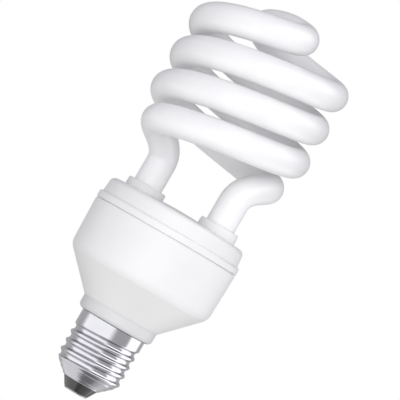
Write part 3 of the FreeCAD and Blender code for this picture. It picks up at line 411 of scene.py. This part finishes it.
# Painted shade: the darker nickel tones for the thread's steep flanks.
FLANK_SHADE_DARK = (0.37, 0.368, 0.40)
FLANK_SHADE_LIGHT = (0.42, 0.418, 0.45)
NICKEL_CLOUDS = 140.0
NICKEL_ROUGHNESS = (0.12, 0.20)
ROLLING_RINGS = 900.0
ROLLING_STRETCH = (0.05, 0.05, 1.0)
ROLLING_DEPTH = 0.0015 * MM

shell_low, shell_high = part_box("screw_shell")
SHELL_LOW_Z = shell_low[2]
SHELL_TOP_Z = shell_high[2]
CREST_RADIUS = shell_high[0]
ROOT_RADIUS = CREST_RADIUS - THREAD_DEPTH


def eased(value):
    """Nought to one with a soft start and a soft end."""
    value = max(0.0, min(1.0, value))
    return value * value * (3 - 2 * value)


def thread_radius(offset):
    """The thread's outer radius at a height above or below a root's middle."""
    half = THREAD_PITCH / 2
    reach = min(abs(offset), half)
    root_rounding = (half ** 2 + THREAD_DEPTH ** 2) / (2 * THREAD_DEPTH) - CREST_ROUNDING
    meeting = half * root_rounding / (root_rounding + CREST_ROUNDING)
    if reach < meeting:
        return ROOT_RADIUS + root_rounding - math.sqrt(root_rounding ** 2 - reach ** 2)
    return CREST_RADIUS - CREST_ROUNDING + math.sqrt(CREST_ROUNDING ** 2 - (half - reach) ** 2)


def bowl_radius(height):
    """The cap's outer radius over the bowl, which swells from a straight cone and carries faint rings."""
    share = min(1.0, (height - SHELL_LOW_Z) / BOWL_HEIGHT)
    straight = RIM_RADIUS + (CREST_RADIUS - RIM_RADIUS) * share
    rings = BOWL_RING_DEPTH * math.sin(2 * math.pi * (height - BOWL_RING_Z) / BOWL_RING_STEP)
    inner = share * (1 - share)
    return straight + BOWL_BULGE * inner + rings * min(1.0, BOWL_RING_FADE * inner)


def shell_radius(height, degrees):
    """The cap's outer radius anywhere: the bowl, the thread with its run-out, and the band."""
    first = ROOT_AT_RIGHT + THREAD_PITCH * degrees / 360.0
    turns = round((height - first) / THREAD_PITCH)
    along = degrees + 360.0 * turns
    depth = CREST_RADIUS - thread_radius(height - first - THREAD_PITCH * turns)
    depth *= 1.0 - eased((along - 360.0 * LAST_ROOT - RUN_OUT_START) / RUN_OUT_TURN)
    return min(bowl_radius(height), CREST_RADIUS - depth)


def flank_share(height, degrees, radius):
    """How far a place is up a steep flank of the thread: nought on crests, roots and the bowl."""
    if radius >= bowl_radius(height):
        return 0.0
    slope = abs(shell_radius(height + FLANK_REACH, degrees) - radius) / FLANK_REACH
    return min(1.0, max(0.0, (slope - FLANK_START) / (FLANK_FULL - FLANK_START)))


def cap_skin(build, inset, rows_to_turn):
    """One face of the formed sheet, in columns whose rows climb with the thread."""
    flank = build.verts.layers.float.get("flank") or build.verts.layers.float.new("flank")
    step = THREAD_PITCH / rows_to_turn
    count = math.ceil((SHELL_TOP_Z - SHELL_LOW_Z) / step) + rows_to_turn + 1
    columns = []
    for j in range(AROUND):
        degrees = 360.0 * j / AROUND
        column = []
        for i in range(count):
            height = SHELL_LOW_Z + step * (i - rows_to_turn) + THREAD_PITCH * j / AROUND
            height = min(max(height, SHELL_LOW_Z), SHELL_TOP_Z)
            lip = RIM_LIP * max(0.0, 1.0 - (height - SHELL_LOW_Z) / RIM_LIP_HEIGHT) ** 2
            radius = shell_radius(height, degrees)
            vert = build.verts.new(from_axis(radius + lip - inset, degrees, height))
            # The flank share places the nickel's painted shade.
            vert[flank] = flank_share(height, degrees, radius)
            column.append(vert)
        columns.append(column)
    for j in range(AROUND):
        column, beside = columns[j], columns[(j + 1) % AROUND]
        climb = rows_to_turn if j == AROUND - 1 else 0
        for i in range(count - 1):
            low_beside = beside[min(i + climb, count - 1)]
            high_beside = beside[min(i + 1 + climb, count - 1)]
            corners = [column[i], low_beside, high_beside, column[i + 1]]
            if low_beside is high_beside:
                corners.remove(high_beside)
            build.faces.new(reversed(corners) if inset else corners)
    return columns


def cap_mesh():
    """The formed sheet: its outer and inner face, and the rims that join them."""
    build = bmesh.new()
    outside = cap_skin(build, 0.0, OUTER_ROWS_TO_TURN)
    inside = cap_skin(build, SHELL_WALL, INNER_ROWS_TO_TURN)
    for row in (0, -1):
        for j in range(AROUND):
            k = (j + 1) % AROUND
            corners = [outside[j][row], outside[k][row], inside[k][row], inside[j][row]]
            build.faces.new(corners if row else reversed(corners))
    bmesh.ops.remove_doubles(build, verts=build.verts, dist=MERGE_REACH)
    bmesh.ops.dissolve_degenerate(build, edges=build.edges, dist=MERGE_REACH)
    mesh = bpy.data.meshes.new("threaded_cap")
    build.to_mesh(mesh)
    build.free()
    mesh.polygons.foreach_set("use_smooth", [True] * len(mesh.polygons))
    mesh.update()
    return mesh


def nickel_plate():
    """Nickel with the faint rings that rolling leaves, painted darker on the thread's steep flanks as
    painted shade.
    """
    material, tree, shader, places = new_finish("nickel_plate", NICKEL_BRIGHT, NICKEL_ROUGHNESS[0], 1.0)
    rings = clouds(tree, places, ROLLING_RINGS, CLOUD_SOFT, ROLLING_STRETCH)
    cloud = clouds(tree, places, NICKEL_CLOUDS, CLOUD_FINE)
    flank = tree.nodes.new("ShaderNodeAttribute")
    flank.attribute_name = "flank"
    plain_nickel = tinted(tree, cloud, NICKEL_DULL, NICKEL_BRIGHT)
    painted_flank_shade = tinted(tree, cloud, FLANK_SHADE_DARK, FLANK_SHADE_LIGHT)
    # Painted shade: darker nickel on the steep flanks, by the flank share, stands in for the dark
    # reflections there.
    colour = mixed(tree, plain_nickel, painted_flank_shade, share=flank.outputs["Fac"])
    tree.links.new(colour, shader.inputs["Base Color"])
    tree.links.new(between(tree, cloud, *NICKEL_ROUGHNESS), shader.inputs["Roughness"])
    grained(tree, shader, rings, ROLLING_DEPTH)
    return material


cap = bpy.data.objects.new("threaded_cap", cap_mesh())
scene.collection.objects.link(cap)
cap.data.materials.append(nickel_plate())
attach(cap, "root")
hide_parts("screw_shell")

# Insulator and contact
# A cone of black glass, pressed hot and fused into the cap's bowl, with a flat disc on its end for a
# contact. The disc is tinned with solder, which leaves it grey and slightly mottled.
BLACK_GLASS_DEEP = (0.010, 0.010, 0.012)
BLACK_GLASS_PALE = (0.020, 0.020, 0.022)
BLACK_GLASS_ROUGHNESS = 0.10
BLACK_GLASS_IOR = 1.8
PRESS_RIPPLES = 260.0
PRESS_DEPTH = 0.02 * MM
SOLDER_GREY = (0.36, 0.36, 0.37)
SOLDER_ROUGHNESS = 0.42
TIN_MOTTLES = 700.0
TIN_DARKENING = 0.82
TIN_ROUGHNESS_SPAN = 0.15


def black_glass():
    """Glossy black glass with a faint ripple from the press."""
    material, tree, shader, places = new_finish("black_glass", BLACK_GLASS_PALE, BLACK_GLASS_ROUGHNESS)
    ripple = clouds(tree, places, PRESS_RIPPLES, CLOUD_SOFT)
    tree.links.new(tinted(tree, ripple, BLACK_GLASS_DEEP, BLACK_GLASS_PALE), shader.inputs["Base Color"])
    grained(tree, shader, ripple, PRESS_DEPTH)
    shader.inputs["IOR"].default_value = BLACK_GLASS_IOR
    return material


def tinned_metal(name, colour, roughness):
    """Solder-tinned metal, slightly mottled."""
    material, tree, shader, places = new_finish(name, colour, roughness, 1.0)
    mottle = clouds(tree, places, TIN_MOTTLES, CLOUD_FINE)
    darker = tuple(TIN_DARKENING * part for part in colour)
    tree.links.new(tinted(tree, mottle, darker, colour), shader.inputs["Base Color"])
    roughest = roughness + TIN_ROUGHNESS_SPAN
    tree.links.new(between(tree, mottle, roughness, roughest), shader.inputs["Roughness"])
    return material


dress("insulator", black_glass())
dress("centre_contact", tinned_metal("contact_tin", SOLDER_GREY, SOLDER_ROUGHNESS))

# Fittings inside
# What the casing holds: cement round the tube's feet, the board with its ballast components, and the leads.
# None of it shows from outside, and each piece has its own plain real finish: two tones, a roughness, and
# how many clouds of tone there are to the metre.
FITTING_TONES = {
    "cement": ((0.70, 0.68, 0.62), (0.82, 0.80, 0.75), 0.85, 500.0),
    "board": ((0.42, 0.27, 0.12), (0.52, 0.35, 0.17), 0.55, 350.0),
    "can_sleeve": ((0.02, 0.025, 0.05), (0.04, 0.05, 0.09), 0.30, 120.0),
    "ferrite": ((0.05, 0.05, 0.055), (0.10, 0.10, 0.105), 0.55, 900.0),
    "ring_core": ((0.05, 0.20, 0.10), (0.08, 0.27, 0.14), 0.35, 400.0),
    "black_plastic": ((0.02, 0.02, 0.02), (0.035, 0.035, 0.035), 0.45, 300.0),
    "film_red": ((0.32, 0.05, 0.03), (0.42, 0.08, 0.05), 0.28, 150.0),
    "disc_blue": ((0.04, 0.13, 0.34), (0.07, 0.19, 0.44), 0.30, 200.0),
    "disc_brown": ((0.22, 0.12, 0.06), (0.32, 0.19, 0.10), 0.35, 200.0),
    "diac_glass": ((0.08, 0.20, 0.42), (0.12, 0.28, 0.52), 0.12, 200.0),
    "resistor_lacquer": ((0.60, 0.48, 0.32), (0.72, 0.60, 0.42), 0.35, 250.0),
    "fuse_lacquer": ((0.20, 0.34, 0.24), (0.28, 0.44, 0.32), 0.40, 250.0),
    "black_wire": ((0.02, 0.02, 0.02), (0.04, 0.04, 0.04), 0.40, 200.0),
    "white_wire": ((0.74, 0.74, 0.72), (0.82, 0.82, 0.80), 0.40, 200.0),
}
SMOOTHER, ROUGHER = 0.05, 0.08
WIRE_TIN = (0.72, 0.72, 0.72)
WIRE_ROUGHNESS = 0.25
COPPER_DARK = (0.42, 0.17, 0.06)
COPPER_LIGHT = (0.66, 0.31, 0.13)
COPPER_ROUGHNESS = 0.35
COPPER_METAL = 0.8
COPPER_TURNS = 420.0
COPPER_WANDER = 0.4
COPPER_DEPTH = 0.06 * MM
FITTINGS = {
    "cement": ["tube_cement"],
    "board": ["circuit_board"],
    "can_sleeve": ["smoothing_capacitor"],
    "ferrite": ["choke_core_front", "choke_core_back", "filter_choke_core"],
    "ring_core": ["drive_toroid"],
    "black_plastic": ["choke_bobbin", "transistor_front", "transistor_back", "rectifier_diodes"],
    "film_red": ["resonant_capacitor", "blocking_capacitor"],
    "disc_blue": ["start_capacitor"],
    "disc_brown": ["preheat_thermistor"],
    "diac_glass": ["diac"],
    "resistor_lacquer": ["resistors"],
    "fuse_lacquer": ["fuse_resistor"],
    "black_wire": ["contact_lead"],
    "white_wire": ["shell_lead"],
    "tinned_wire": ["choke_pins", "wire_posts", "filament_leads"],
    "enamelled_copper": ["choke_winding", "drive_windings", "filter_choke_winding"],
}


def mottled(name, low, high, roughness, to_the_metre):
    """A finish that varies softly between two tones."""
    material, tree, shader, places = new_finish(name, high, roughness)
    cloud = clouds(tree, places, to_the_metre, CLOUD_FINE)
    tree.links.new(tinted(tree, cloud, low, high), shader.inputs["Base Color"])
    sheen = between(tree, cloud, roughness - SMOOTHER, roughness + ROUGHER)
    tree.links.new(sheen, shader.inputs["Roughness"])
    return material


def wound_copper(name):
    """Enamelled copper wire, laid side by side."""
    material, tree, shader, places = new_finish(name, COPPER_LIGHT, COPPER_ROUGHNESS, COPPER_METAL)
    lay = tree.nodes.new("ShaderNodeTexWave")
    lay.bands_direction = "Y"
    lay.inputs["Scale"].default_value = COPPER_TURNS
    lay.inputs["Distortion"].default_value = COPPER_WANDER
    tree.links.new(places, lay.inputs["Vector"])
    turns = lay.outputs["Fac"]
    tree.links.new(tinted(tree, turns, COPPER_DARK, COPPER_LIGHT), shader.inputs["Base Color"])
    grained(tree, shader, turns, COPPER_DEPTH)
    return material


fitting_finishes = {name: mottled(name, *tones) for name, tones in FITTING_TONES.items()}
fitting_finishes["tinned_wire"] = tinned_metal("tinned_wire", WIRE_TIN, WIRE_ROUGHNESS)
fitting_finishes["enamelled_copper"] = wound_copper("enamelled_copper")
for finish, nodes in FITTINGS.items():
    for node in nodes:
        dress(node, fitting_finishes[finish])

# Studio
# The lamp is held over a pale floor, inside a plain white surround that is dim in gloss. Two soft boxes
# stand in front of it and do not show in gloss. What the nickel mirrors is a few curved cards with soft
# edges round the cap, which show in gloss alone. Bearings are from the camera's side, and rises from level.
FLOOR_Z = -0.6
FLOOR_RADIUS = 1.2
FLOOR_GLOW = (0.55, 1.0)
SURROUND_RADIUS = 3.0
SURROUND_GLOW = 1.0
ARC_STEP = 5
SHEET_STEPS = 96
DIM_SHARE = 0.95
DIM_GLOW = 0.30
PAPER_WHITE = (1.0, 1.0, 1.0, 1.0)
PAPER_ROUGHNESS = 0.95
CAMERA_SIDE = -90.0
LOWEST = -90.0
CARD_STEP = 2.0
CAP_MIDDLE = 15.0 * MM
GLOSS_CARDS = (
    ("left_wall", (-104.0, 22.0), (-46.0, 46.0), 1.52, (20.0, 16.0), 120.0 * MM),
    ("right_wall", (66.0, 128.0), (-46.0, 38.0), 1.95, (11.0, 10.0), 125.0 * MM),
    ("low_left", (-180.0, -12.0), (-82.0, -26.0), 1.00, (24.0, 10.0), 130.0 * MM),
    ("low_right", (60.0, 180.0), (-60.0, -28.0), 0.80, (20.0, 12.0), 135.0 * MM),
    ("low_middle", (-180.0, 180.0), (LOWEST, -62.0), 0.22, (0.0, 10.0), 140.0 * MM),
    ("grey_ring", (-180.0, 180.0), (-70.0, 34.0), 0.56, (0.0, 8.0), 160.0 * MM),
    ("high_card", (-8.0, 130.0), (26.0, 74.0), 2.30, (28.0, 12.0), 540.0 * MM),
)
SOFT_BOXES = (("front_box", 4.0, 4.0, 1.90), ("right_fill", 45.0, 15.0, 0.45))
BOX_SIDE = 1.6
BOX_DISTANCE = 1.6
LIGHT_AIM = 80.0 * MM
ROOM_COLOUR = (0.94, 0.935, 1.0, 1.0)
ROOM_GLOW = 0.64


def paper(name, near, far, start, reach):
    """Paper whose glow changes evenly with the distance from the lamp's foot."""
    material, tree, shader, places = new_finish(name, (0.0, 0.0, 0.0), PAPER_ROUGHNESS)
    share = tree.nodes.new("ShaderNodeMapRange")
    share.inputs["From Min"].default_value = start
    share.inputs["From Max"].default_value = reach
    share.inputs["To Min"].default_value = near
    share.inputs["To Max"].default_value = far
    reached = tree.nodes.new("ShaderNodeVectorMath")
    reached.operation = "LENGTH"
    tree.links.new(places, reached.inputs[0])
    tree.links.new(reached.outputs["Value"], share.inputs["Value"])
    shader.inputs["Specular IOR Level"].default_value = 0.0
    shader.inputs["Emission Color"].default_value = PAPER_WHITE
    tree.links.new(share.outputs["Result"], shader.inputs["Emission Strength"])
    return material


def turned_sheet(name, outline, material):
    """A sheet turned round the lamp's axis from an outline of radii and heights."""
    verts = []
    for radius, height in outline:
        verts += [from_axis(radius, 360.0 * j / SHEET_STEPS, height) for j in range(SHEET_STEPS)]
    faces = []
    for i in range(len(outline) - 1):
        low, high = i * SHEET_STEPS, (i + 1) * SHEET_STEPS
        for j in range(SHEET_STEPS):
            k = (j + 1) % SHEET_STEPS
            faces.append((low + j, low + k, high + k, high + j))
    mesh = bpy.data.meshes.new(name)
    mesh.from_pydata(verts, [], faces)
    mesh.materials.append(material)
    sheet = bpy.data.objects.new(name, mesh)
    scene.collection.objects.link(sheet)
    return sheet


floor_paper = paper("floor_paper", *FLOOR_GLOW, -FLOOR_Z, math.hypot(FLOOR_RADIUS, FLOOR_Z))
floor = turned_sheet("floor", [(FLOOR_RADIUS, FLOOR_Z), (0.0, FLOOR_Z)], floor_paper)
floor.visible_glossy = False
arc = [math.radians(a) for a in range(-90, 91, ARC_STEP)]
dome = [(SURROUND_RADIUS * math.cos(a), SURROUND_RADIUS * math.sin(a)) for a in arc]
surround_paper = paper("surround_paper", SURROUND_GLOW, SURROUND_GLOW, 0.0, 1.0)
surround = turned_sheet("surround", dome, surround_paper)
surround.visible_diffuse = False
surround.visible_glossy = False
surround.visible_shadow = False
dim_dome = [(radius * DIM_SHARE, height * DIM_SHARE) for radius, height in dome]
dim_paper = paper("dim_paper", DIM_GLOW, DIM_GLOW, 0.0, 1.0)
dim_surround = turned_sheet("dim_surround", dim_dome, dim_paper)
dim_surround.visible_camera = False
dim_surround.visible_diffuse = False
dim_surround.visible_shadow = False


def card_cover(bearing, rise, bearings, rises, edge):
    """How much a card covers at a place on it: all in its middle, and softly less over its edges."""
    sides = min(bearing - bearings[0], bearings[1] - bearing) / edge[0] if edge[0] else 1.0
    low_end = 1.0 if rises[0] == LOWEST else (rise - rises[0]) / edge[1]
    return eased(sides) * eased(low_end) * eased((rises[1] - rise) / edge[1])


def card_glow(name, glow):
    """An even glow that lets through what is behind it where the card covers less."""
    material = bpy.data.materials.new(name)
    material.use_nodes = True
    tree = material.node_tree
    tree.nodes.clear()
    cover = tree.nodes.new("ShaderNodeAttribute")
    cover.attribute_name = "cover"
    clear = tree.nodes.new("ShaderNodeBsdfTransparent")
    shine = tree.nodes.new("ShaderNodeEmission")
    shine.inputs["Strength"].default_value = glow
    blend = tree.nodes.new("ShaderNodeMixShader")
    leave = tree.nodes.new("ShaderNodeOutputMaterial")
    tree.links.new(cover.outputs["Fac"], blend.inputs["Fac"])
    tree.links.new(clear.outputs["BSDF"], blend.inputs[1])
    tree.links.new(shine.outputs["Emission"], blend.inputs[2])
    tree.links.new(blend.outputs["Shader"], leave.inputs["Surface"])
    return material


def gloss_card(name, bearings, rises, glow, edge, distance):
    """A curved card round the cap, between two bearings and two rises, that shows only in gloss."""
    columns = round((bearings[1] - bearings[0]) / CARD_STEP)
    rows = round((rises[1] - rises[0]) / CARD_STEP)
    verts, cover, faces = [], [], []
    for j in range(rows + 1):
        rise = rises[0] + (rises[1] - rises[0]) * j / rows
        level, up = math.cos(math.radians(rise)), math.sin(math.radians(rise))
        for i in range(columns + 1):
            bearing = bearings[0] + (bearings[1] - bearings[0]) * i / columns
            way = from_axis(level, bearing + CAMERA_SIDE, up)
            verts.append(Vector((0, 0, CAP_MIDDLE)) + distance * way)
            cover.append(card_cover(bearing, rise, bearings, rises, edge))
            if i < columns and j < rows:
                corner = j * (columns + 1) + i
                faces.append((corner, corner + 1, corner + columns + 2, corner + columns + 1))
    mesh = bpy.data.meshes.new(name)
    mesh.from_pydata(verts, [], faces)
    mesh.attributes.new("cover", "FLOAT", "POINT").data.foreach_set("value", cover)
    mesh.materials.append(card_glow(name, glow))
    card = bpy.data.objects.new(name, mesh)
    scene.collection.objects.link(card)
    card.visible_camera = False
    card.visible_diffuse = False
    card.visible_shadow = False


def soft_box(name, bearing, rise, radiance):
    """A soft box of so bright a face, turned to the lamp, that does not show in gloss."""
    data = bpy.data.lights.new(name, "AREA")
    data.shape = "RECTANGLE"
    data.size = BOX_SIDE
    data.size_y = BOX_SIDE
    data.energy = radiance * BOX_SIDE * BOX_SIDE * math.pi
    light = bpy.data.objects.new(name, data)
    angle = math.radians(rise)
    way = from_axis(math.cos(angle), bearing + CAMERA_SIDE, math.sin(angle))
    turn = (-way).to_track_quat("-Z", "Y").to_matrix().to_4x4()
    light.matrix_world = Matrix.Translation(Vector((0, 0, LIGHT_AIM)) + way * BOX_DISTANCE) @ turn
    light.visible_glossy = False
    light.visible_camera = False
    scene.collection.objects.link(light)


for card in GLOSS_CARDS:
    gloss_card(*card)
for box in SOFT_BOXES:
    soft_box(*box)

room = bpy.data.worlds.new("studio")
room.use_nodes = True
room.node_tree.nodes["Background"].inputs["Color"].default_value = ROOM_COLOUR
room.node_tree.nodes["Background"].inputs["Strength"].default_value = ROOM_GLOW
scene.world = room
scene.view_settings.view_transform = "Standard"
scene.view_settings.look = "None"

# Camera
# It looks at the lamp from the front and a little below the middle, from far enough that perspective is
# small, and is turned so that the lamp leans to the right.
CAMERA_PLACE = Vector((4.20, -851.9, 56.2)) * MM
CAMERA_TARGET = Vector((4.20, 0.0, 84.66)) * MM
CAMERA_LENS = 207.1
CAMERA_SENSOR = 36.0
CAMERA_NEAR = 10.0 * MM
LEAN = 30.15

camera_data = bpy.data.cameras.new("camera")
camera_data.lens = CAMERA_LENS
camera_data.sensor_width = CAMERA_SENSOR
camera_data.clip_start = CAMERA_NEAR
camera = bpy.data.objects.new("camera", camera_data)
view = (CAMERA_TARGET - CAMERA_PLACE).to_track_quat("-Z", "Y").to_matrix().to_4x4()
roll = Matrix.Rotation(math.radians(LEAN), 4, "Z")
camera.matrix_world = Matrix.Translation(CAMERA_PLACE) @ view @ roll
scene.collection.objects.link(camera)
scene.camera = camera
